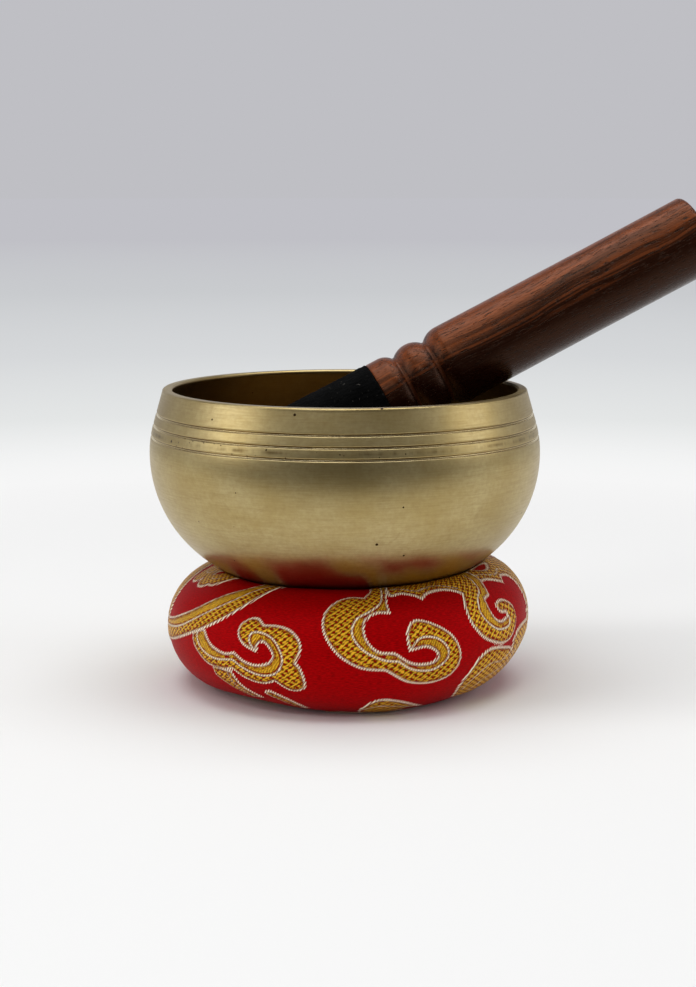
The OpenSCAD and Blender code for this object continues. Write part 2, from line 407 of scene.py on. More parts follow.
# %% [markdown]
# The cushion is a tube of satin brocade, stuffed with fibre and closed into a ring, with its long seam
# on the side of the hole. A point of the cloth is named by two lengths in millimetres: u round the ring,
# measured on its outer side, and v round the tube, upwards from its outermost line. Both start at a
# seam, so that the grid closes where the real cloth does.

# %% Cloth points on the ring
OUTER_R = RING_R + TUBE_R
ROUND_RING = 2 * pi * OUTER_R
ROUND_TUBE = 2 * pi * TUBE_R
JOIN_TURN = radians(190)
SEAM_TILT = radians(205)


def cloth_grid(rows, columns):
    """u and v of a closed grid's points, from the join seam round and from the ring seam round."""
    u = OUTER_R * JOIN_TURN + ROUND_RING * (np.arange(columns) / columns - 1)
    v = TUBE_R * SEAM_TILT + ROUND_TUBE * (np.arange(rows) / rows - 1)
    return np.meshgrid(u, v)


def on_ring(u, v, tube):
    """Ring of tube radius `tube`: r = ring + tube cos t, z = tube sin t, turned by u / outer radius."""
    turn, tilt = u / OUTER_R, v / TUBE_R
    r = RING_R + tube * np.cos(tilt)
    return np.stack([r * np.sin(turn), -r * np.cos(turn), TUBE_Z + tube * np.sin(tilt)], -1)


def keep_clear(points, inset=0.0):
    """Moves points out of the bowl, square to its skin, and up to the table, each with a small gap."""
    r = np.hypot(points[..., 0], points[..., 1])
    out = np.maximum(r - LOW_CENTRE, 1e-6)
    down = points[..., 2] - BELLY_Z
    reach = np.hypot(out, down)
    push = np.maximum(LOW_ARC + SOFT_GAP + inset - reach, 0) / reach
    new_r = r + out * push
    moved = points.copy()
    moved[..., :2] *= (new_r / np.maximum(r, 1e-6))[..., None]
    moved[..., 2] += down * push
    moved[..., 2] = np.maximum(moved[..., 2], inset)
    return moved


def surface_normals(points):
    """Unit normals of a closed grid: the cross product of the steps along its columns and its rows."""
    across = np.roll(points, -1, 1) - np.roll(points, 1, 1)
    up = np.roll(points, -1, 0) - np.roll(points, 1, 0)
    return unit(np.cross(across, up))


# %% [markdown]
# Blown-up cloth is simulated on a fairly coarse ring that starts a little slack and uneven, as a hand
# stuffed one is. Pressure fills it, the long seam stays pinned, and no point may move more than a cap.
# Afterwards it is kept clear of the bowl and the table, and resampled to the fine grid that carries
# the pattern.

# %% Stuffing the ring with the cloth simulation
SIM_ROWS = 84
SIM_COLUMNS = 252
SLACK = 0.3
LUMPS = 0.25
SWELL_CAP = 2.2


def uneven(u, v):
    """Slow lumps of the stuffing, from about -1 to 1: sines that fit a whole number of times round."""
    turn, tilt = u / OUTER_R, v / TUBE_R
    return (0.3 * np.sin(4 * turn + tilt + 0.4) + 0.4 * np.sin(5 * turn - tilt + 2)
            + 0.3 * np.sin(8 * turn + 2 * tilt + 0.6))


def fuller(u, v):
    """Where more or less fibre was pushed in, in mm: smooth waves round the ring and round the tube."""
    turn, tilt = u / OUTER_R, v / TUBE_R
    right = np.clip(np.sin(turn), 0, 1) ** 2
    left = np.clip(-np.sin(turn), 0, 1) ** 2
    front = np.clip(np.cos(turn), 0, 1) ** 2
    low = np.clip(-np.sin(tilt), 0, 1)
    outside = 0.5 + 0.5 * np.cos(tilt - 0.4)
    lifted = -(1.5 * np.exp(-((turn + 0.6) / 0.4) ** 2) + 0.6 * front) * low ** 2
    full_right = right * (0.6 + 2.6 * np.sin(tilt) - 1.2 * low)
    full_left = left * (0.6 * np.sin(tilt) - 1)
    full_front = front * (0.6 - 0.5 * np.sin(tilt))
    return lifted + outside * (full_right + full_left + full_front)


def stuffed(points):
    """Blows up the closed grid of points as cloth, its first row pinned, and returns the points."""
    sack = make_piece("sack", points, [grid_faces(*points.shape[:2], wrap_rows=True)])
    seam = sack.vertex_groups.new(name="seam")
    seam.add(list(range(points.shape[1])), 1.0, "REPLACE")
    cloth = sack.modifiers.new("Cloth", "CLOTH")
    cloth.settings.quality = 5
    cloth.settings.mass = 0.001
    cloth.settings.tension_stiffness = 4
    cloth.settings.compression_stiffness = 4
    cloth.settings.shear_stiffness = 2
    cloth.settings.bending_stiffness = 0.3
    cloth.settings.use_pressure = True
    cloth.settings.uniform_pressure_force = 20
    cloth.settings.vertex_group_mass = "seam"
    cloth.settings.effector_weights.gravity = 0
    cloth.collision_settings.use_collision = False
    scene = bpy.context.scene
    for step in range(1, 21):
        scene.frame_set(step)
    settled = np.empty(points.size)
    shown = sack.evaluated_get(bpy.context.evaluated_depsgraph_get())
    shown.data.vertices.foreach_get("co", settled)
    scene.frame_set(1)
    bpy.data.objects.remove(sack)
    move = settled.reshape(points.shape) / MM - points
    size = np.linalg.norm(move, axis=-1, keepdims=True)
    print("cloth moved by up to", round(float(size.max()), 2), "mm, on average",
          round(float(size.mean()), 2))
    return points + move * np.minimum(1, SWELL_CAP / np.maximum(size, 1e-6))


def catmull_rom(a, b, c, d, f):
    """Smooth curve from b to c at the fractions f, where a and d are the points before and after.

    It is half of 2b + (c - a)f + (2a - 5b + 4c - d)f² + (3b - a - 3c + d)f³.
    """
    square = (2 * a - 5 * b + 4 * c - d) * f ** 2
    cube = (3 * b - a - 3 * c + d) * f ** 3
    return 0.5 * (2 * b + (c - a) * f + square + cube)


def resampled(points, count, axis):
    """A closed row of points resampled to `count` points, on the Catmull-Rom curve through them."""
    old = points.shape[axis]
    place = np.arange(count) * old / count
    first = np.floor(place).astype(int)
    shape = [1, 1, 1]
    shape[axis] = count
    f = (place - first).reshape(shape)
    a, b, c, d = (np.take(points, (first + k) % old, axis) for k in (-1, 0, 1, 2))
    return catmull_rom(a, b, c, d, f)


u, v = cloth_grid(SIM_ROWS, SIM_COLUMNS)
ring = keep_clear(on_ring(u, v, TUBE_R - SLACK + LUMPS * uneven(u, v) + fuller(u, v)))
ring = keep_clear(stuffed(ring))

CLOTH_ROWS = 172
CLOTH_COLUMNS = 540
smooth_ring = resampled(resampled(ring, CLOTH_ROWS, 0), CLOTH_COLUMNS, 1)
u, v = cloth_grid(CLOTH_ROWS, CLOTH_COLUMNS)
print("fine cloth grid:", smooth_ring.shape)

# %% [markdown]
# The pattern is woven in gold: drifting clouds with curled ends, the commonest motif of such brocade.
# Each figure is drawn as strokes through a few points in u and v. A stroke is a smooth Catmull-Rom
# curve, and where two strokes meet there is a corner. A curl has an outer edge, an inner edge, and a
# divider that parts its plain satin stripe from its spotted one.

# %% Drawing the woven figures
def smooth_stroke(points, steps=5):
    """The Catmull-Rom curve through the stroke's points, without its last point."""
    p = np.array(points, float)
    p = np.vstack([2 * p[0] - p[1], p, 2 * p[-1] - p[-2]])
    a, b, c, d = (part[:, None] for part in (p[:-3], p[1:-2], p[2:-1], p[3:]))
    f = (np.arange(steps) / steps)[None, :, None]
    return catmull_rom(a, b, c, d, f).reshape(-1, 2)


def outline_of(strokes):
    """One closed outline from strokes that follow each other; gaps are closed by straight lines."""
    return np.concatenate([np.vstack([smooth_stroke(s), [s[-1]]]) for s in strokes])


RIBBON = {
    "outer": [[(-82, -5), (-75, -3.4), (-69, -2.5), (-62, -2), (-56, -0.7), (-48.7, 1.8), (-40.3, 5.3),
               (-34, 9), (-29.5, 13.1), (-26.6, 16.8), (-24, 20.6), (-19, 27)]],
    "inner": [[(-26, 28), (-33.2, 20), (-39.5, 15.2), (-47, 9.8), (-55.3, 6), (-62, 4), (-69, 3), (-75, 3.2),
               (-82, 5)]],
    "divider": [[(-82, 1), (-75, 0.6), (-69, 1), (-58.7, 2.2), (-51.2, 4.2), (-42.8, 8.5), (-35.3, 13.5),
                 (-30.3, 18.5), (-23, 27)]],
}
LEFT_CURL = {
    "outer": [[(-44.9, 3.5), (-44.8, 1.7), (-43.2, -0.5), (-38.7, -3.6), (-32.8, -4), (-29.5, -3.3)],
              [(-29.5, -3.3), (-26.2, -5.2), (-22.8, -6.1), (-19.9, -6), (-17.4, -5)],
              [(-17.4, -5), (-14.5, -7), (-12.2, -7.4), (-10, -6.4), (-9.5, -4.4), (-10.5, -1.1),
               (-11.8, 0.3)],
              [(-11.8, 0.3), (-10.5, 3.2), (-11.3, 6), (-14, 8.2), (-17.8, 9), (-21.2, 8.8)],
              [(-21.2, 8.8), (-23.4, 10.4), (-26.2, 10), (-28.3, 7.8), (-28.1, 5.2), (-25.8, 3.1),
               (-22, 1.8)]],
    "inner": [[(-22, 1.8), (-22, 3.6)],
              [(-22, 3.6), (-20.8, 4.5), (-18.9, 3.3), (-17.8, 1.4), (-18.8, -0.2), (-22, -1.1),
               (-25.6, -0.6), (-28.7, 1.2)],
              [(-28.7, 1.2), (-32, 0.5), (-36.6, 1.8), (-39.5, 4.4), (-40.3, 5.3)]],
    "divider": [[(-42.8, 4.2), (-42.5, 2.2), (-40.2, -0.1), (-35.3, -1.5), (-29.1, -0.8)],
                [(-29.1, -0.8), (-25.3, -2.7), (-21, -3.7), (-17.2, -2.9), (-15.3, -0.4), (-15.5, 2.2),
                 (-17.8, 5.3), (-21.2, 6.7), (-24.1, 6.4), (-24.4, 4.2), (-22, 1.8)]],
}
BIG_CURL = {
    "outer": [[(10.5, 27), (8.2, 21), (5.8, 17.8)],
              [(5.8, 17.8), (2, 18.2), (-2.1, 16.7), (-5, 13.5), (-5.8, 10), (-4.5, 6), (-1.2, 2), (4, -0.8),
               (9.8, -1.5)],
              [(9.8, -1.5), (15.8, -5), (22.5, -5.9), (27.9, -4.2), (30.1, 0), (28.3, 5), (23.8, 8.5),
               (18.8, 10.2), (16, 8.4), (15.4, 5.5), (15.7, 2.7)]],
    "inner": [[(15.7, 2.7), (20.4, 3.3), (23.2, 1.4), (21.5, -0.3), (16.5, 0), (12.1, 2.7)],
              [(12.1, 2.7), (7.9, 3.3), (5.2, 6.4), (5.2, 10.2), (8.3, 12.4), (12.4, 12.3)],
              [(12.4, 12.3), (12.1, 15.2), (13.3, 19.3), (16, 27)]],
    "divider": [[(13.2, 27), (10.8, 16.8), (7.5, 13.5), (3, 11), (1.8, 7.3), (4.3, 3.6), (9, 1.2),
                 (12.9, 0.6)],
                [(12.9, 0.6), (16.5, -1.6), (21.7, -2.2), (25.6, -0.2), (26.1, 2.6), (23.3, 5.2),
                 (18.8, 5.6), (15.7, 2.7)]],
}
RIGHT_CURL = {
    "outer": [[(41, 24), (38, 18), (35.5, 13.4), (34.4, 10.9), (34.3, 7.8), (36, 4.9), (38.8, 2.6),
               (43.9, 0.8), (48.2, 0.6), (51.3, 1.9), (53.8, 4.3), (54.4, 6.6), (53.8, 8.3), (51.9, 9.8),
               (49.5, 10.6), (46.8, 10.3), (45.9, 9.3), (46.8, 7.8), (49.4, 7.3)]],
    "inner": [[(49.4, 7.3), (48.7, 6.4), (45.7, 6), (43.7, 7), (42.9, 8.8), (42.8, 10.5), (43.2, 11.9)],
              [(43.2, 11.9), (46, 12.5)], [(46, 12.5), (46.9, 14.6), (48.5, 18), (50, 24)]],
    "divider": [[(46.5, 24), (45, 18), (43.2, 14.4), (40.9, 12.9), (39.1, 10.6), (39, 8.4), (40.9, 5.9),
                 (44.1, 4.2), (48.3, 4.1), (50, 5.3), (49.4, 7.3)]],
}
CURLS = [RIBBON, LEFT_CURL, BIG_CURL, RIGHT_CURL]
PLAIN_FIGURES = [
    # the pair of leaves that hangs from the left curl, and the crescent beside it
    [[(-36.8, -3.5), (-36.6, -6.4), (-34, -8.6), (-30, -11.5), (-27, -13)], [(-27, -13), (-22.5, -12.4)],
     [(-22.5, -12.4), (-25.5, -10.2), (-28.2, -7.8), (-30, -4)]],
    [[(-21.6, -9.6), (-20, -8.2), (-17.5, -9.2), (-14, -11.5), (-10, -15.5)],
     [(-10, -15.5), (-13.5, -15), (-17, -12.6), (-21.6, -9.6)]],
    # the flower at the upper left, with its petals below
    [[(-80, 26), (-72, 21.5), (-68, 18.4), (-66.2, 16), (-63.6, 15.1), (-61, 15.6), (-59.6, 17.4)],
     [(-59.6, 17.4), (-58.2, 15.8), (-56, 14.9), (-53.4, 15.3), (-51.6, 16.6)],
     [(-51.6, 16.6), (-49, 16.8), (-46.6, 19), (-44, 23), (-44, 28)], [(-44, 28), (-60, 31), (-80, 30)]],
    # the cloud bank along the top between the two big curls, and its trail round the right side
    [[(14, 26), (13.6, 19), (14.4, 17.8), (17.5, 18.3), (21, 17), (22.9, 15.4)],
     [(22.9, 15.4), (25.5, 17), (30, 17.4), (34, 16.4), (37.4, 14.2)],
     [(37.4, 14.2), (42, 15), (47.6, 16.2), (50.9, 16), (54.3, 14.7), (57.1, 13.4)],
     [(57.1, 13.4), (58.6, 14.8), (60.8, 14.8), (63.9, 13.6), (65.6, 11), (66.4, 7), (67.4, 3)],
     [(67.4, 3), (72, 0), (82, 2)], [(82, 2), (80, 14), (73, 20), (62, 25), (50, 28), (34, 28), (14, 26)]],
    # the pair of leaves at the lower right
    [[(33.6, -15), (32.2, -10), (32.9, -6.6), (34.4, -3.7), (36.3, -1.4), (39.3, 0.1), (42.9, 0.2),
      (50.1, -1.2), (51.8, -2.3)], [(51.8, -2.3), (52.2, 0.6), (56, 2.6), (63.7, 3), (74, 2), (82, 0)],
     [(82, 0), (76, -6), (66, -7), (54, -11), (44, -15.5), (33.6, -15)]],
    # the cloud at the bottom in front
    [[(3.8, -17.5), (4.8, -13.2), (7.4, -10.4), (10.8, -9.8), (16.2, -11.7), (24, -16.4)],
     [(24, -16.4), (18, -15.5), (13, -19), (3.8, -17.5)]],
]
# places inside the figures where the red ground stays open
OPENINGS = [
    [[(-60, 22.6), (-57.6, 20.6), (-55.2, 22.6), (-57.4, 25)], [(-57.4, 25), (-60, 22.6)]],
    [[(52.4, 21), (55.4, 18.8), (58.4, 18.6), (61.8, 19.6)], [(61.8, 19.6), (58, 20.8), (52.4, 21)]],
]
LEAF_VEINS = [
    [(-31.3, -3.6), (-31.2, -6.4), (-29.4, -9.4), (-25.4, -12.8)],
    [(34.5, -11), (37, -6.8), (42, -3.8), (47, -4.4), (52, -2.4)],
    [(38.5, -13), (43, -8.6), (50, -7), (54.4, -4.7), (58, -1.6), (66, -1), (76, -2)],
    [(51.8, -2.3), (54.4, -4.7), (54, -9)],
    [(5, -14.6), (9, -12.8), (14, -13.4), (20, -15)],
    [(15, 20.6), (18.4, 20.4), (22.6, 18.6), (26, 19.2), (31, 19.2), (36.6, 16.6)],
    [(48.6, 18.6), (51.6, 18), (54, 16.8), (58, 16.2), (62, 16.6), (66, 14.6), (69, 9)],
    [(-70, 23), (-66, 20), (-62.6, 19.6), (-61, 22)],
    [(-54, 19), (-51, 19.6), (-49, 22), (-48.4, 25)],
]

# %% [markdown]
# The cloth needs one number per point for each woven edge: how deep it lies inside a figure. Such a
# distance changes evenly over the cloth, so a grid of half a millimetre still gives crisp lines. The
# sign comes from counting how often a line to the right crosses the outline.

# %% How deep each cloth point lies in the figures
REPEAT = ROUND_RING / 2
NEAR = 2.5


def wrapped(length, period):
    """The length, counted from half a period below zero to half a period above."""
    return (length + period / 2) % period - period / 2


def depth_in(u, v, outline):
    """Distance to the closed outline in mm, positive inside; far outside it is just minus the margin."""
    low, high = outline.min(0) - NEAR, outline.max(0) + NEAR
    close = (u > low[0]) & (u < high[0]) & (v > low[1]) & (v < high[1])
    depth = np.full(u.shape, -NEAR)
    pu, pv = u[close], v[close]
    nearest = np.full(pu.shape, NEAR)
    is_in = np.zeros(pu.shape, bool)
    for (ua, va), (ub, vb) in zip(outline, np.roll(outline, -1, 0)):
        du, dv = ub - ua, vb - va
        share = np.clip(((pu - ua) * du + (pv - va) * dv) / max(du * du + dv * dv, 1e-9), 0, 1)
        nearest = np.minimum(nearest, np.hypot(pu - ua - share * du, pv - va - share * dv))
        if va != vb:
            is_in ^= ((va > pv) != (vb > pv)) & (pu < ua + (pv - va) * du / dv)
    depth[close] = np.where(is_in, nearest, -nearest)
    return depth


def distance_to(u, v, stroke):
    """Distance in mm to an open stroke, up to the margin."""
    curve = np.vstack([smooth_stroke(stroke), [stroke[-1]]])
    there_and_back = np.concatenate([curve, curve[-2:0:-1]])
    return np.minimum(np.abs(depth_in(u, v, there_and_back)), NEAR)


def all_round(u, v, strokes):
    """Depth in an outline that may run on past the end of the repeat."""
    outline = outline_of(strokes)
    return np.maximum.reduce([depth_in(u + turns * REPEAT, v, outline) for turns in (-1, 0, 1)])


def woven(u, v, row_shift):
    """Depth in any figure, depth in any satin stripe, and distance to any vein, one row of the pattern."""
    pu = wrapped(u - row_shift * REPEAT / 2, REPEAT)
    pv = wrapped(v - row_shift * ROUND_TUBE / 2, ROUND_TUBE)
    figure = np.full(u.shape, -NEAR)
    satin = np.full(u.shape, -NEAR)
    for curl in CURLS:
        figure = np.maximum(figure, all_round(pu, pv, curl["outer"] + curl["inner"]))
        satin = np.maximum(satin, all_round(pu, pv, curl["divider"] + curl["inner"]))
    for strokes in PLAIN_FIGURES:
        figure = np.maximum(figure, all_round(pu, pv, strokes))
    for strokes in OPENINGS:
        figure = np.minimum(figure, -all_round(pu, pv, strokes))
    vein = np.full(u.shape, NEAR)
    for stroke in LEAF_VEINS:
        for turns in (-1, 0, 1):
            vein = np.minimum(vein, distance_to(pu + turns * REPEAT, pv, stroke))
    return figure, satin, vein


front, under = woven(u, v, 0), woven(u, v, 1)
figure = np.maximum(front[0], under[0])
satin = np.maximum(front[1], under[1])
vein = np.minimum(front[2], under[2])
print("share of the cloth that is woven in gold:", round(float((figure > 0).mean()), 3))

# %% [markdown]
# The gold weft floats on top of the red satin, so the figures stand about a quarter of a millimetre
# proud. Round the hole the cloth is gathered into small pleats, deepest at the seam and gone 2 cm away.
# A whip stitch closes the long seam and another joins the two ends of the tube on the far side.

# %% The cover's fine shape
FLOAT_H = 0.28
PLEATS = 46
PLEAT_DEPTH = 1.3
PLEAT_REACH = 11
SEAM_DIP = 0.9
seam_gap = np.abs(wrapped(v - TUBE_R * SEAM_TILT, ROUND_TUBE))
join_gap = np.abs(wrapped(u - OUTER_R * JOIN_TURN, ROUND_RING))
turn = u / OUTER_R
tilt = v / TUBE_R
pleat_phase = PLEATS / 2 * turn + 0.9 * np.sin(3 * turn) + 0.5 * np.sin(7 * turn + 1)
pleats = PLEAT_DEPTH * np.exp(-(seam_gap / PLEAT_REACH) ** 2) * (np.abs(np.sin(pleat_phase)) ** 0.6 - 1)
join_share = 1 / (1 + np.exp(-(tilt + 1.25) * 9)) / (1 + np.exp((tilt - 1.6) * 9))
pucker = 0.12 * np.sin(u / 0.9) * np.exp(-(join_gap / 3) ** 2) * join_share
seam_dip = SEAM_DIP * np.exp(-(seam_gap / 1.2) ** 2)
join_dip = 0.8 * np.exp(-(join_gap / 0.8) ** 2) * join_share
seams = -seam_dip - join_dip + pucker
divider_dip = 0.1 * np.exp(-((satin - 0.45) / 0.3) ** 2) * (figure > 0.5)
floats = FLOAT_H * np.clip(figure / 0.45 + 0.3, 0, 1) - divider_dip
normals = surface_normals(smooth_ring)
cover_points = keep_clear(smooth_ring + normals * (pleats + seams + floats)[..., None], inset=0.02)

# %% The inner wall of the cover
COARSER = 4
INNER_ROWS = CLOTH_ROWS // COARSER
INNER_COLUMNS = CLOTH_COLUMNS // COARSER
coarse = smooth_ring[::COARSER, ::COARSER]
inner_depth = 0.8 + 1.6 * np.exp(-(seam_gap[::COARSER, ::COARSER] / PLEAT_REACH) ** 2)
inner_wall = coarse - surface_normals(coarse) * inner_depth[..., None]
outer_faces = grid_faces(CLOTH_ROWS, CLOTH_COLUMNS, wrap_rows=True)
inner_faces = grid_faces(INNER_ROWS, INNER_COLUMNS, wrap_rows=True)[:, ::-1] + CLOTH_ROWS * CLOTH_COLUMNS
corners = grid_corners(CLOTH_ROWS, CLOTH_COLUMNS, True, True)
face_uv = np.stack([u[0, 0] + corners[..., 1] * ROUND_RING / CLOTH_COLUMNS,
                    v[0, 0] + corners[..., 0] * ROUND_TUBE / CLOTH_ROWS], -1)
inner_uv = np.zeros((len(inner_faces), 4, 2))
bare = np.full(inner_wall.shape[:2], NEAR)
cover = make_piece(
    "brocade_cover", np.concatenate([cover_points.reshape(-1, 3), inner_wall.reshape(-1, 3)]),
    [outer_faces, inner_faces],
    fields={"figure": np.append(figure, -bare), "satin": np.append(satin, -bare),
            "vein": np.append(vein, bare)},
    face_uv=np.concatenate([face_uv, inner_uv]))
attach(cover, "cushion")
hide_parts("cushion_cover")

# %% [markdown]
# Under the cover is a ring of polyester wadding. It is out of sight, yet it is what the cushion is
# filled with, so it has its own lumpy surface just inside the cover's inner wall.

# %% The fibre filling
FILL_ROWS = 48
FILL_COLUMNS = 180
fill_ring = resampled(resampled(ring, FILL_ROWS, 0), FILL_COLUMNS, 1)
fill_u, fill_v = cloth_grid(FILL_ROWS, FILL_COLUMNS)
fill_gap = np.abs(wrapped(fill_v - TUBE_R * SEAM_TILT, ROUND_TUBE))
tufts = 0.25 * np.sin(fill_u / 3.1) * np.sin(fill_v / 2.7) - 0.25
fill_depth = 1.0 + 1.8 * np.exp(-(fill_gap / PLEAT_REACH) ** 2) - tufts
wadding = make_piece(
    "fibre_filling", fill_ring - surface_normals(fill_ring) * fill_depth[..., None],
    [grid_faces(FILL_ROWS, FILL_COLUMNS, wrap_rows=True)])
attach(wadding, "cushion")
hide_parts("cushion_filling")

# %% [markdown]
# A whip stitch winds round the seam: seen from above it is a row of short slanting bars. Its thread
# follows a flattened helix along the seam, half above the cloth and half in it. The thread is a tube:
# a small circle carried along that path.

# %% Whip stitches
THREAD_R = 0.22
THREAD_SIDES = 8
THREAD_TIP = 0.1
STITCH_PITCH = 2.4
STITCH_LIFT = 0.1
STITCH_RISE = 0.32
STITCH_HALF = 0.55
PER_STITCH = 10


def whipped(base, normal, side):
    """Helix round the seam: base + normal * (lift + rise cos p) + side * half sin p, p one turn a stitch."""
    phase = 2 * pi * np.arange(len(base))[:, None] / PER_STITCH
    return base + normal * (STITCH_LIFT + STITCH_RISE * np.cos(phase)) + side * STITCH_HALF * np.sin(phase)


def thread_tube(path, closed):
    """A circle of the thread's radius at each point of the path, square to the path there."""
    run = (np.roll(path, -1, 0) - np.roll(path, 1, 0)) if closed else np.gradient(path, axis=0)
    run = unit(run)
    first = unit(np.cross(run, [0.13, 0.21, 0.97]))
    second = np.cross(run, first)
    angle = steps_round(THREAD_SIDES)[None, :, None]
    radius = np.full(len(path), THREAD_R)
    if not closed:
        radius[[0, -1]] = THREAD_TIP
    around = np.cos(angle) * first[:, None] + np.sin(angle) * second[:, None]
    return path[:, None] + radius[:, None, None] * around


def spread(values, count):
    """Values along a closed row, resampled to `count` points."""
    return resampled(values[None], count, 1)[0]


seam_row = smooth_ring[0] - normals[0] * SEAM_DIP
count = PER_STITCH * round(2 * pi * (RING_R - TUBE_R) / STITCH_PITCH)
seam_base = spread(seam_row, count)
seam_normal = spread(normals[0], count)
seam_side = spread(unit(smooth_ring[1] - smooth_ring[-1]), count)
ring_path = whipped(seam_base, seam_normal, seam_side)
ring_thread = make_piece("ring_seam_stitches", thread_tube(ring_path, True),
                         [grid_faces(count, THREAD_SIDES, wrap_rows=True)])
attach(ring_thread, "cushion")
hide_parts("ring_seam_thread")

# %% The join's stitches
join_rows = np.where((tilt[:, 0] > radians(-50)) & (tilt[:, 0] < radians(65)))[0]
count = PER_STITCH * round(len(join_rows) * ROUND_TUBE / CLOTH_ROWS / STITCH_PITCH)
place = np.linspace(0, len(join_rows) - 1, count)


def down_join(values):
    """Values on the cloth grid's first column, between the join's ends, at the thread's own spacing."""
    column = values[join_rows, 0]
    return np.stack([np.interp(place, np.arange(len(column)), column[:, k]) for k in range(3)], -1)


join_base = down_join(smooth_ring) - down_join(normals) * 0.8
join_side = unit(down_join(np.roll(smooth_ring, -1, 1) - np.roll(smooth_ring, 1, 1)))
join_path = whipped(join_base, down_join(normals), join_side)
join_tube = thread_tube(join_path, False)
caps = np.array([join_path[0], join_path[-1]])
join_thread = make_piece(
    "join_seam_stitches", np.concatenate([join_tube.reshape(-1, 3), caps]),
    [grid_faces(count, THREAD_SIDES), pole_fans(count, THREAD_SIDES)])
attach(join_thread, "cushion")
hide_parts("join_seam_thread")

# %% [markdown]
# Materials are built from nodes. Colours are written as the sRGB hex values that a paint chart would
# give, and turned to linear light by one function. Another adds a node with its settings, and feeds its
# sockets with numbers, colours and the outputs of other nodes. A colour is often several laid over each
# other like coats of paint, each covering its own share of the surface, so that is a loop.

# %% Colours and nodes
def tint(code):
    """Linear RGBA of an sRGB hex colour: ((c + 0.055) / 1.055) ** 2.4, or c / 12.92 where c is small."""
    srgb = np.array([int(code[i:i + 2], 16) for i in (1, 3, 5)]) / 255
    linear = np.where(srgb > 0.04045, ((srgb + 0.055) / 1.055) ** 2.4, srgb / 12.92)
    return (*linear.tolist(), 1.0)


def feed(node, feeds):
    """Gives sockets, by name or number, a value or a link; a node stands for its own first output."""
    for socket, value in feeds.items():
        if isinstance(value, bpy.types.Node):
            value = value.outputs[0]
        if isinstance(value, bpy.types.NodeSocket):
            node.id_data.links.new(value, node.inputs[socket])
        else:
            node.inputs[socket].default_value = value


def add_node(tree, kind, feeds=None, **settings):
    """Adds a shader node of that kind: settings are its own properties, and feeds go to its sockets."""
    node = tree.nodes.new("ShaderNode" + kind)
    for name, value in settings.items():
        setattr(node, name, value)
    feed(node, feeds or {})
    return node


def layered(add, ground, coats):
    """Lays each coat's colour over what is there by its share: (1 - share) * below + share * coat."""
    colour = tint(ground) if isinstance(ground, str) else ground
    for share, coat in coats:
        coat = tint(coat) if isinstance(coat, str) else coat
        colour = add("Mix", {0: share, 6: colour, 7: coat}, data_type="RGBA").outputs[2]
    return colour


def start_material(name, constants):
    """A new material, the function that adds nodes to it, and its shader with constant values set."""
    material = bpy.data.materials.new(name)
    material.use_nodes = True
    shader = material.node_tree.nodes["Principled BSDF"]
    feed(shader, constants)
    return material, partial(add_node, material.node_tree), shader


def place_in_mm(add):
    """The piece's Object coordinates in millimetres, so that a pattern's scale is one over its size in mm."""
    place = add("TexCoord").outputs["Object"]
    return add("Mapping", {0: place, 3: (1000, 1000, 1000)})
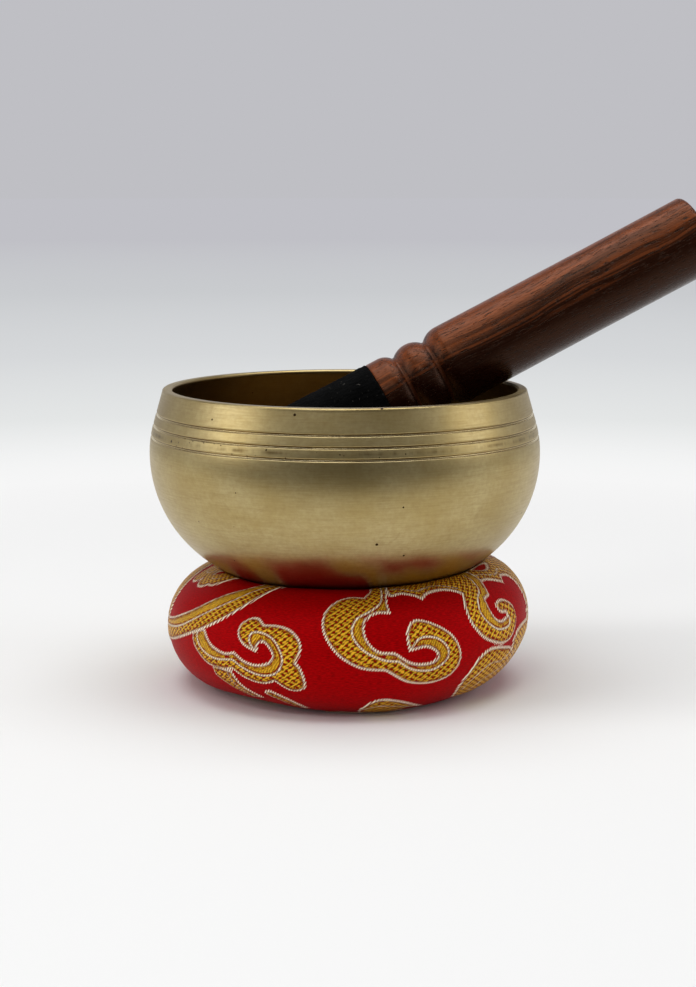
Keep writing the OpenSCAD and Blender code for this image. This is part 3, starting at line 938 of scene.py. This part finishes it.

# %% [markdown]
# Cast brass, turned on a lathe and left with a satin finish. To the eye that gives a warm, soft mirror
# with fine rings round the axis, cloudy patches where it is more or less polished, small dark casting
# pits, and brown tarnish left in the cut lines, laid on their upper flanks together with painted shade,
# while their lower flanks carry a pale painted highlight. The rings are noise that is stretched round
# the axis: the noise is read on radius and height, and only slowly along the direction round the bowl.

# %% Cast brass, lathe turned
def turned_brass():
    """Metal with ring-shaped turning marks about 0.35 mm apart, cloudy patches, pits, and cut lines
    with tarnish and painted shade on their upper flanks and a painted highlight on their lower ones.
    """
    material, add, shader = start_material("cast_brass_lathe_turned", {"Metallic": 1.0, "Anisotropic": 0.35})
    mm = place_in_mm(add)
    split = add("SeparateXYZ", {0: mm})
    cells_per_mm = 2.8
    cells_per_radian = 7.0
    flat = add("VectorMath", {0: mm, 1: (1, 1, 0)}, operation="MULTIPLY")
    radius = add("VectorMath", {0: flat}, operation="LENGTH").outputs["Value"]
    heading = add("VectorMath", {0: flat}, operation="NORMALIZE")
    wide = add("VectorMath", {0: heading, "Scale": cells_per_radian}, operation="SCALE")
    rise = add("Math", {0: split.outputs[2], 1: cells_per_mm}, operation="MULTIPLY")
    ring_at = add("CombineXYZ", {2: rise})
    ring_at = add("VectorMath", {0: wide, 1: ring_at}, operation="ADD")
    ring_w = add("Math", {0: radius, 1: cells_per_mm}, operation="MULTIPLY")
    rings = add("TexNoise", {"Vector": ring_at, "W": ring_w, "Scale": 1.0, "Detail": 4.0, "Roughness": 0.65},
                noise_dimensions="4D")
    clouds = add("TexNoise", {"Vector": mm, "Scale": 0.075, "Detail": 5.0, "Roughness": 0.6})
    grain = add("TexNoise", {"Vector": mm, "Scale": 0.9, "Detail": 4.0, "Roughness": 0.7})
    # warm brass that drifts between a redder and a greener yellow
    drift = add("MapRange", {0: clouds, 1: 0.36, 2: 0.64})
    mottle = add("MapRange", {0: grain, 1: 0.35, 2: 0.7, 3: 0.0, 4: 0.4})
    mark = add("MapRange", {0: rings, 1: 0.42, 2: 0.68, 3: 0.0, 4: 0.28})
    # brownish handling marks, a few millimetres across
    stain = add("TexNoise", {"Vector": mm, "Scale": 0.16, "Detail": 6.0, "Roughness": 0.7,
                             "Distortion": 0.8})
    stain = add("MapRange", {0: stain, 1: 0.6, 2: 0.78, 3: 0.0, 4: 0.35})
    # casting pits: a spot 0.15 to 0.75 mm across in half of the cells of a 5 mm mesh
    cells = add("TexVoronoi", {"Vector": mm, "Scale": 0.2, "Randomness": 1.0})
    chance = add("SeparateColor", {0: cells.outputs["Color"]})
    picked = add("Math", {0: chance.outputs[0], 1: 0.5}, operation="GREATER_THAN")
    size = add("MapRange", {0: chance.outputs[1], 3: 0.015, 4: 0.075})
    near_spot = add("Math", {0: cells.outputs["Distance"], 1: size}, operation="LESS_THAN")
    pit = add("Math", {0: near_spot, 1: picked}, operation="MULTIPLY")
    # a crowd of tiny pits between the second and the third cut line
    tiny = add("TexVoronoi", {"Vector": mm, "Scale": 1.1, "Randomness": 1.0})
    chance = add("SeparateColor", {0: tiny.outputs["Color"]})
    picked = add("Math", {0: chance.outputs[0], 1: 0.66}, operation="GREATER_THAN")
    speck = add("Math", {0: tiny.outputs["Distance"], 1: 0.2}, operation="LESS_THAN")
    level = RIM_Z - (LINE_DROPS[1] + LINE_DROPS[2]) / 2
    belt = add("Math", {0: split.outputs[2], 1: level, 2: 1.6}, operation="COMPARE")
    patch = add("Math", {0: clouds, 1: 0.5}, operation="GREATER_THAN")
    for share in (picked, belt, patch):
        speck = add("Math", {0: speck, 1: share}, operation="MULTIPLY")
    pit = add("Math", {0: pit, 1: speck}, operation="MAXIMUM")
    # and a broken dark smear there, where polish has dried
    off_level = add("Math", {0: split.outputs[2], 1: level}, operation="SUBTRACT")
    off_level = add("Math", {0: off_level}, operation="ABSOLUTE")
    smear = add("MapRange", {0: off_level, 1: 0.7, 2: 0.0, 3: 0.0, 4: 0.75})
    broken = add("TexNoise", {"Vector": wide, "Scale": 1.1, "Detail": 5.0, "Roughness": 0.7})
    broken = add("MapRange", {0: broken, 1: 0.46, 2: 0.62})
    smear = add("Math", {0: smear, 1: broken}, operation="MULTIPLY")
    # tarnish and painted shade on the upper flank of each cut line, patchy along it
    cut = add("Attribute", attribute_name="cut_line").outputs["Fac"]
    patchy = add("MapRange", {0: clouds, 1: 0.3, 2: 0.7, 3: 0.5, 4: 1.0})
    tarnish_and_shade = add("MapRange", {0: cut, 1: 0.12, 2: 0.5})
    tarnish_and_shade = add("Math", {0: tarnish_and_shade, 1: patchy}, operation="MULTIPLY")
    # a pale painted highlight on the lower flank of each cut line, which is also made a little smoother
    painted_highlight = add("MapRange", {0: cut, 1: -0.05, 2: -0.35})
    # the inside is darker and browner
    within = add("Attribute", attribute_name="inside").outputs["Fac"]
    old = add("Math", {0: within, 1: 0.6}, operation="MULTIPLY")
    colour = layered(add, "#AF9B67", [
        (drift, "#BDAC7C"), (mottle, "#9A8154"), (mark, "#8E7444"), (stain, "#7A5A34"),
        (smear, "#54401F"), (pit, "#3A2A18"), (tarnish_and_shade, "#402410"), (painted_highlight, "#FFEFC0"),
        (old, "#6E4E22")])
    rough = add("MapRange", {0: rings, 1: 0.3, 2: 0.7, 3: 0.28, 4: 0.36})
    rough = add("Math", {0: clouds, 1: 0.16, 2: rough}, operation="MULTIPLY_ADD")
    rough = add("Math", {0: rough, 1: 0.06}, operation="SUBTRACT")
    gloss = add("Math", {0: painted_highlight, 1: -0.08, 2: rough}, operation="MULTIPLY_ADD")
    # relief: rings 0.02 mm deep, grain 0.03 mm and pits 0.1 mm
    fine = add("Bump", {"Height": rings, "Distance": 0.02 * MM, "Strength": 0.6})
    soft = add("Bump", {"Height": grain, "Distance": 0.03 * MM, "Strength": 0.6, "Normal": fine})
    pits = add("Bump", {"Height": pit, "Distance": 0.1 * MM, "Strength": 0.8, "Normal": soft}, invert=True)
    axis = add("Tangent", direction_type="RADIAL", axis="Z")
    feed(shader, {"Base Color": colour, "Roughness": gloss, "Normal": pits, "Tangent": axis})
    return material


bowl.data.materials.append(turned_brass())

# %% [markdown]
# Rosewood, turned, sanded and rubbed with wax. It is dark red-brown with blackish streaks along the
# grain, short dark pores, and a soft sheen. A Mapping node turns the pattern so that the grain runs
# along the mallet. Round the axis the rings of the tree are cut into streaks, and the same pattern
# shows as end grain on the butt.

# %% Waxed rosewood
def waxed_rosewood():
    """Wood with growth streaks about 2 mm wide, fibres 0.4 mm wide and pores some 3 mm long,
    in painted shade towards its underside.
    """
    material, add, shader = start_material(
        "waxed_rosewood", {"IOR": 1.5, "Specular IOR Level": 0.28, "Specular Tint": tint("#FFC09A")})
    place = add("TexCoord").outputs["Object"]
    grain = add("Mapping", {0: place, 1: tuple(MALLET_POINT * MM), 2: (0, pi / 2 - MALLET_LEAN, MALLET_TURN),
                            3: (MM, MM, MM)}, vector_type="TEXTURE")
    bent = add("TexNoise", {"Vector": grain, "Scale": 0.03, "Detail": 2.0}).outputs["Color"]
    bend = add("VectorMath", {0: bent, 1: (-0.5, -0.5, -0.5)}, operation="ADD")
    bend = add("VectorMath", {0: bend, 1: (5, 5, 0)}, operation="MULTIPLY")
    grain_bent = add("VectorMath", {0: grain, 1: bend}, operation="ADD")
    # the tree's heart lies 26 mm to one side
    pith = add("VectorMath", {0: grain_bent, 1: (24, 9, 0)}, operation="ADD")
    pith = add("VectorMath", {0: pith, 1: (1, 1, 0.03)}, operation="MULTIPLY")
    reach = add("VectorMath", {0: pith}, operation="LENGTH").outputs["Value"]
    streaks = add("TexNoise", {"W": reach, "Scale": 0.6, "Detail": 5.0, "Roughness": 0.75},
                  noise_dimensions="1D")
    long_way = add("VectorMath", {0: grain_bent, 1: (1, 1, 0.035)}, operation="MULTIPLY")
    figure = add("TexNoise", {"Vector": long_way, "Scale": 0.3, "Detail": 3.0, "Roughness": 0.6})
    fibres = add("TexNoise", {"Vector": long_way, "Scale": 2.6, "Detail": 3.0, "Roughness": 0.7})
    pore_at = add("VectorMath", {0: grain_bent, 1: (1, 1, 0.1)}, operation="MULTIPLY")
    pores = add("TexNoise", {"Vector": pore_at, "Scale": 3.2, "Detail": 1.0})
    pores = add("MapRange", {0: pores, 1: 0.6, 2: 0.68})
    mixed = add("Math", {0: streaks, 1: 0.65, 2: figure}, operation="MULTIPLY_ADD")
    # painted shade: the wood is darker towards its underside, away from the lamps overhead
    side = add("SeparateXYZ", {0: grain})
    mixed = add("Math", {0: side.outputs[0], 1: 0.04, 2: mixed}, operation="MULTIPLY_ADD")
    dark = add("MapRange", {0: mixed, 1: 0.4, 2: 0.7})
    fibre_share = add("MapRange", {0: fibres, 1: 0.35, 2: 0.7, 3: 0.0, 4: 0.55})
    groove = add("Attribute", attribute_name="groove").outputs["Fac"]
    bare = add("Math", {0: groove, 1: 0.8}, operation="MULTIPLY")
    colour = layered(add, "#824220", [
        (dark, "#1C0702"), (fibre_share, "#1E0A04"), (pores, "#0C0302"), (bare, "#7C4226")])
    rough = add("MapRange", {0: fibres, 1: 0.3, 2: 0.7, 3: 0.22, 4: 0.34})
    thread = add("Bump", {"Height": fibres, "Distance": 0.06 * MM, "Strength": 0.7})
    open_pores = add("Bump", {"Height": pores, "Distance": 0.08 * MM, "Strength": 0.7, "Normal": thread},
                     invert=True)
    feed(shader, {"Base Color": colour, "Roughness": rough, "Normal": open_pores})
    return material


handle.data.materials.append(waxed_rosewood())

# %% [markdown]
# Black split suede: its nap scatters light in every direction, so it is nearly flat black with a faint
# bloom at glancing angles. Brushed patches are a little lighter, and it catches pale lint.

# %% Black suede
def black_suede():
    """Dyed suede with nap about 0.4 mm coarse, brushed patches and a few pale specks of lint."""
    material, add, shader = start_material("black_split_suede", {
        "Roughness": 0.95, "IOR": 1.45, "Specular IOR Level": 0.05,
        "Sheen Weight": 0.04, "Sheen Roughness": 0.5, "Sheen Tint": tint("#8C9096")})
    mm = place_in_mm(add)
    nap = add("TexNoise", {"Vector": mm, "Scale": 2.2, "Detail": 4.0, "Roughness": 0.75})
    brushed = add("TexNoise", {"Vector": mm, "Scale": 0.18, "Detail": 2.0})
    both = add("Math", {0: nap, 1: 0.7, 2: brushed}, operation="MULTIPLY_ADD")
    share = add("MapRange", {0: both, 1: 0.6, 2: 1.05})
    lint = add("TexNoise", {"Vector": mm, "Scale": 1.7, "Detail": 2.0})
    lint = add("MapRange", {0: lint, 1: 0.7, 2: 0.76, 3: 0.0, 4: 0.6})
    colour = layered(add, "#020202", [(share, "#0A0A0A"), (lint, "#6E6A64")])
    bump = add("Bump", {"Height": nap, "Distance": 0.3 * MM, "Strength": 0.9})
    feed(shader, {"Base Color": colour, "Normal": bump})
    return material


wrap.data.materials.append(black_suede())

# %% [markdown]
# Silk-satin brocade: a red satin ground with gold and cream weft floats. The gold is a flat metallic
# yarn in two weaves, a plain one with fine slanting threads and a spotted one where the red shows
# through in staggered dots. Every figure is edged with short slanting cream stitches. All of it is
# laid out in the cloth's own millimetres.

# %% Gold and red satin brocade
def satin_brocade():
    """Red satin; gold where figure > 0, cream 0.6 mm wide inside its edge, dots 1.4 mm apart."""
    material, add, shader = start_material("satin_brocade", {"IOR": 1.5, "Specular IOR Level": 0.03})
    cloth = add("UVMap", uv_map="cloth")
    figure = add("Attribute", attribute_name="figure").outputs["Fac"]
    satin = add("Attribute", attribute_name="satin").outputs["Fac"]
    vein = add("Attribute", attribute_name="vein").outputs["Fac"]
    # wobble shakes every line of the weave; the cream stitches lie 0.63 mm apart, measured square to them
    wobble = add("TexNoise", {"Vector": cloth, "Scale": 0.9, "Detail": 2.0}, noise_dimensions="2D")

    def slanting(across, up, period, shake):
        """Slanting lines: the sine of 2 pi (across * u + up * v + shake * wobble) / period."""
        wave = add("VectorMath", {0: cloth, 1: (across, up, 0)}, operation="DOT_PRODUCT").outputs["Value"]
        wave = add("Math", {0: wobble, 1: shake, 2: wave}, operation="MULTIPLY_ADD")
        wave = add("Math", {0: wave, 1: 2 * pi / period}, operation="MULTIPLY")
        return add("Math", {0: wave}, operation="SINE")

    stitch = slanting(1.0, -0.62, 0.74, 0.35)
    ragged = add("Math", {0: stitch, 1: 0.24, 2: figure}, operation="MULTIPLY_ADD")
    gold = add("MapRange", {0: ragged, 1: -0.05, 2: 0.05})
    # cream at the figure's edge, along the divider and along a leaf's veins
    edge_band = add("MapRange", {0: ragged, 1: 0.64, 2: 0.52})
    divider_gap = add("Math", {0: satin}, operation="ABSOLUTE")
    divider_gap = add("Math", {0: divider_gap, 1: vein}, operation="MINIMUM")
    divider_gap = add("Math", {0: stitch, 1: 0.14, 2: divider_gap}, operation="MULTIPLY_ADD")
    divider_band = add("MapRange", {0: divider_gap, 1: 0.34, 2: 0.22})
    band = add("Math", {0: edge_band, 1: divider_band}, operation="MAXIMUM")
    bars = add("MapRange", {0: stitch, 1: -0.85, 2: -0.4})
    cream = add("Math", {0: band, 1: bars}, operation="MULTIPLY")
    # a thin line of the red ground just inside the cream, broken into dashes
    inner_gap = add("Math", {0: ragged, 1: 0.9}, operation="SUBTRACT")
    inner_gap = add("Math", {0: inner_gap}, operation="ABSOLUTE")
    satin_gap = add("Math", {0: satin, 1: 0.5}, operation="SUBTRACT")
    satin_gap = add("Math", {0: satin_gap}, operation="ABSOLUTE")
    red_gap = add("Math", {0: inner_gap, 1: satin_gap}, operation="MINIMUM")
    red_line = add("MapRange", {0: red_gap, 1: 0.2, 2: 0.1})
    dash = add("MapRange", {0: wobble, 1: 0.4, 2: 0.5})
    red_line = add("Math", {0: red_line, 1: dash}, operation="MULTIPLY")
    # dots of the red ground, off the plain stripe: sines across u and v make a staggered mesh
    mesh = add("Math", {0: slanting(1.0, 0.25, 2.3, 0.25), 1: slanting(-0.1, 1.0, 1.7, 0.2)},
               operation="MULTIPLY")
    dots = add("MapRange", {0: mesh, 1: 0.46, 2: 0.6})
    off_stripe = add("Math", {0: satin, 1: 0.0}, operation="LESS_THAN")
    dots = add("Math", {0: dots, 1: off_stripe}, operation="MULTIPLY")
    holes = add("Math", {0: dots, 1: red_line}, operation="MAXIMUM")
    # gold threads: short flat strokes between the dots, fine steep ones on the plain stripe
    between = add("Math", {0: mesh, 1: -1.3, 2: slanting(-0.57, 0.82, 0.72, 0.9)}, operation="MULTIPLY_ADD")
    hatch = add("Mix", {0: off_stripe, 2: slanting(-0.85, 0.53, 0.62, 0.6), 3: between})
    soft_hatch = add("Math", {0: hatch, 1: 0.5, 2: 0.1}, operation="MULTIPLY_ADD")
    # the satin ground: close, level threads and slow changes of depth
    wide_uv = add("Mapping", {0: cloth, 3: (0.9, 4.0, 1.0)})
    threads = add("TexNoise", {"Vector": wide_uv, "Scale": 1.0, "Detail": 3.0}, noise_dimensions="2D")
    weave = add("MapRange", {0: threads, 1: 0.3, 2: 0.7})
    red = layered(add, "#8C0002", [(weave, "#B80005")])
    hatch = add("Mix", {0: off_stripe, 2: soft_hatch, 3: hatch})
    # painted highlight: along its threads and strokes the gold is painted from a dark brown-gold to a bright
    # yellow
    lit = add("Math", {0: threads, 1: 1.6, 2: hatch}, operation="MULTIPLY_ADD")
    lit = add("MapRange", {0: lit, 1: -0.1, 2: 1.6})
    edging = layered(add, "#7C1208", [(bars, "#FFF2D8")])
    figures = layered(add, "#6E4204", [(lit, "#F6BC30"), (holes, "#8E0804"), (band, edging)])
    colour = layered(add, red, [(gold, figures)])
    # metal-like shine: strong on gold yarn, some on the red silk, none on cream and in the dots
    open_yarn = add("Math", {0: holes, 1: band}, operation="MAXIMUM")
    yarn = add("Math", {0: 1.0, 1: open_yarn}, operation="SUBTRACT")
    shine = add("Math", {0: yarn, 1: 0.6}, operation="MULTIPLY")
    shine = add("Mix", {0: gold, 2: 0.22, 3: shine})
    rough = add("MapRange", {0: gold, 3: 0.5, 4: 0.36})
    # relief: gold threads, dots pressed in, cream stitches raised
    height = add("Math", {0: hatch, 1: 0.5, 2: 1.0}, operation="MULTIPLY_ADD")
    for share in (yarn, gold):
        height = add("Math", {0: height, 1: share}, operation="MULTIPLY")
    raised = add("Math", {0: cream, 1: gold}, operation="MULTIPLY")
    height = add("Math", {0: raised, 1: 1.6, 2: height}, operation="MULTIPLY_ADD")
    height = add("Math", {0: threads, 1: 0.25, 2: height}, operation="MULTIPLY_ADD")
    bump = add("Bump", {"Height": height, "Distance": 0.18 * MM, "Strength": 0.8})
    feed(shader, {"Base Color": colour, "Metallic": shine, "Roughness": rough, "Normal": bump})
    return material


cover.data.materials.append(satin_brocade())

# %% [markdown]
# Polyester wadding is white, matt and tangled. The sewing thread is dark red, twisted from strands,
# which shows as a fine slant along it.

# %% Wadding and sewing thread
def polyester_wadding():
    """White fibre with a tangle about 1 mm coarse."""
    material, add, shader = start_material("polyester_wadding", {"Roughness": 0.95, "Sheen Weight": 0.3})
    mm = place_in_mm(add)
    tangle = add("TexNoise", {"Vector": mm, "Scale": 1.0, "Detail": 5.0, "Distortion": 2.0})
    colour = layered(add, "#D9D6CE", [(tangle, "#F4F2EC")])
    bump = add("Bump", {"Height": tangle, "Distance": 0.5 * MM})
    feed(shader, {"Base Color": colour, "Normal": bump})
    return material


def twisted_thread():
    """Dark red polyester thread whose strands twist about 0.4 mm apart."""
    material, add, shader = start_material(
        "twisted_polyester_thread", {"Roughness": 0.5, "Sheen Weight": 0.2})
    mm = place_in_mm(add)
    strands = add("TexWave", {"Vector": mm, "Scale": 0.9, "Distortion": 1.5},
                  bands_direction="DIAGONAL").outputs["Fac"]
    colour = layered(add, "#7C0A10", [(strands, "#B81A22")])
    bump = add("Bump", {"Height": strands, "Distance": 0.08 * MM})
    feed(shader, {"Base Color": colour, "Normal": bump})
    return material


wadding.data.materials.append(polyester_wadding())
thread_finish = twisted_thread()
ring_thread.data.materials.append(thread_finish)
join_thread.data.materials.append(thread_finish)

# %% [markdown]
# The bowl stands on a white table that runs back into a pale grey studio. The table is a disc whose
# middle is a plain lit surface, which keeps the shadow; further out it turns into the backdrop's own
# colour, which fades from white to grey with distance.

# %% The table
BACKDROP_R = 8000
TABLE_COLUMNS = 128
rings_out = np.concatenate([np.linspace(0, 500, 26)[1:], np.geomspace(560, BACKDROP_R, 24)])
disc = spun(np.stack([rings_out, np.zeros(len(rings_out))], -1)[::-1], TABLE_COLUMNS)
disc_points = np.concatenate([disc.reshape(-1, 3), [[0, 0, 0]]])
last_row = (len(rings_out) - 1) * TABLE_COLUMNS
here = np.arange(TABLE_COLUMNS)
beyond = (here + 1) % TABLE_COLUMNS
centre = np.full(TABLE_COLUMNS, len(disc_points) - 1)
middle = np.stack([last_row + here, last_row + beyond, centre], -1)
table = make_piece("studio_table", disc_points, [grid_faces(len(rings_out), TABLE_COLUMNS), middle])

# distances from the middle in metres, and the backdrop's grey at each
GREYS = [(0.35, "#FAFAFA"), (0.56, "#E4E6E6"), (0.92, "#D6D8DA"), (1.63, "#C9CBCE"), (3.2, "#C0C0C6")]


def ray_kinds(add):
    """Two shares: 1 for a ray that is seen, straight, mirrored or through glass, and 1 for a mirrored one."""
    ray = add("LightPath")
    mirrored = ray.outputs["Is Glossy Ray"]
    seen = add("Math", {0: ray.outputs["Is Camera Ray"], 1: mirrored}, operation="MAXIMUM")
    seen = add("Math", {0: seen, 1: ray.outputs["Is Transmission Ray"]}, operation="MAXIMUM")
    return seen, mirrored


def studio_table():
    """Matt white near the object, blended between 0.2 m and 0.45 m into the backdrop's own light."""
    material, add, shader = start_material(
        "matt_white_table", {"Base Color": tint("#F2F2F2"), "Roughness": 0.9, "Specular IOR Level": 0.15})
    place = add("TexCoord").outputs["Object"]
    reach = add("VectorMath", {0: place}, operation="LENGTH").outputs["Value"]
    coats = [(add("MapRange", {0: reach, 1: start, 2: end}), shade)
             for (start, _), (end, shade) in zip(GREYS, GREYS[1:])]
    # mirrored in metal or wax, the table ends in shadow on the camera's side
    split = add("SeparateXYZ", {0: place})
    ahead = add("MapRange", {0: split.outputs[1], 1: -0.06, 2: -0.26})
    seen, mirrored = ray_kinds(add)
    ahead = add("Math", {0: ahead, 1: mirrored}, operation="MULTIPLY")
    colour = layered(add, GREYS[0][1], coats + [(ahead, "#78787A")])
    backdrop = add("Emission", {"Color": colour, "Strength": 1.0})
    far = add("MapRange", {0: reach, 1: 0.2, 2: 0.45}, interpolation_type="SMOOTHSTEP")
    share = add("Math", {0: far, 1: seen}, operation="MULTIPLY")
    share = add("Math", {0: share, 1: ahead}, operation="MAXIMUM")
    mixed = add("MixShader", {0: share, 1: shader, 2: backdrop})
    feed(material.node_tree.nodes["Material Output"], {"Surface": mixed})
    return material


table.data.materials.append(studio_table())

# %% [markdown]
# Soft studio light: a big softbox overhead, one at each side and a small one in front, all out of sight
# of the camera, and a pale room. The room that is seen is the grey of the backdrop. Mirrored in metal or
# wax, the camera's side and the ceiling are dark. The room that lights the object is an even white.

# %% Room and lamps
ROOM_GREY = "#BFBFC4"
room = bpy.data.worlds.new("pale_studio")
bpy.context.scene.world = room
room.use_nodes = True
add = partial(add_node, room.node_tree)
lighting = room.node_tree.nodes["Background"]
feed(lighting, {"Color": tint("#FFFFFF"), "Strength": 0.3})
shown = add("Background", {"Color": tint(ROOM_GREY), "Strength": 1.0})
# mirrored, the camera's side is unlit up to the height of the lamps, and so is the ceiling
heading = add("TexCoord").outputs["Generated"]
heading = add("SeparateXYZ", {0: heading})
unlit = add("MapRange", {0: heading.outputs[1], 1: -0.25, 2: -0.9})
below_lamp = add("MapRange", {0: heading.outputs[2], 1: 0.6, 2: 0.25})
unlit = add("Math", {0: unlit, 1: below_lamp}, operation="MULTIPLY")
ceiling = add("MapRange", {0: heading.outputs[2], 1: 0.4, 2: 0.7})
unlit = add("Math", {0: unlit, 1: ceiling}, operation="MAXIMUM")
reflection = add("Background", {"Color": layered(add, ROOM_GREY, [(unlit, "#606062")]), "Strength": 1.0})
seen, mirrored = ray_kinds(add)
shown = add("MixShader", {0: mirrored, 1: shown, 2: reflection})
mixed = add("MixShader", {0: seen, 1: lighting, 2: shown})
feed(room.node_tree.nodes["World Output"], {"Surface": mixed})


def softbox(name, place, aim, width, depth, power):
    """Rectangular area lamp at a place in metres, facing the aim, hidden from the camera."""
    lamp = bpy.data.lights.new(name, "AREA")
    lamp.shape = "RECTANGLE"
    lamp.size = width
    lamp.size_y = depth
    lamp.energy = power
    holder = bpy.data.objects.new(name, lamp)
    holder.location = place
    away = unit(np.array(place) - np.array(aim))
    holder.rotation_euler = (float(np.arccos(away[2])), 0, float(np.arctan2(away[1], away[0]) + pi / 2))
    holder.visible_camera = False
    bpy.context.scene.collection.objects.link(holder)


# place, aim and size in metres, and power in watts
softbox("overhead_softbox", (0.0, 0.05, 1.3), (0, 0, 0.04), 1.4, 1.2, 12.8)
softbox("left_softbox", (-1.1, -0.35, 0.6), (0, 0, 0.05), 0.7, 0.9, 3.4)
softbox("right_softbox", (1.2, -0.15, 0.6), (0, 0, 0.05), 0.7, 0.9, 2.6)
softbox("front_softbox", (-0.25, -0.85, 0.85), (0, 0, 0.06), 0.4, 0.2, 1.1)

# %% [markdown]
# The camera looks down nine degrees from a little over half a metre away, with a 73 mm lens.

# %% Camera
CAMERA_PLACE = (0.0008, -0.51, 0.132)
CAMERA_TILT = radians(80.72)
lens = bpy.data.cameras.new("camera")
lens.lens = 73
lens.sensor_width = 36
lens.clip_start = 0.01
lens.clip_end = 30
camera = bpy.data.objects.new("camera", lens)
camera.location = CAMERA_PLACE
camera.rotation_euler = (CAMERA_TILT, 0, 0)
bpy.context.scene.collection.objects.link(camera)
bpy.context.scene.camera = camera
bpy.context.scene.view_settings.view_transform = "Standard"
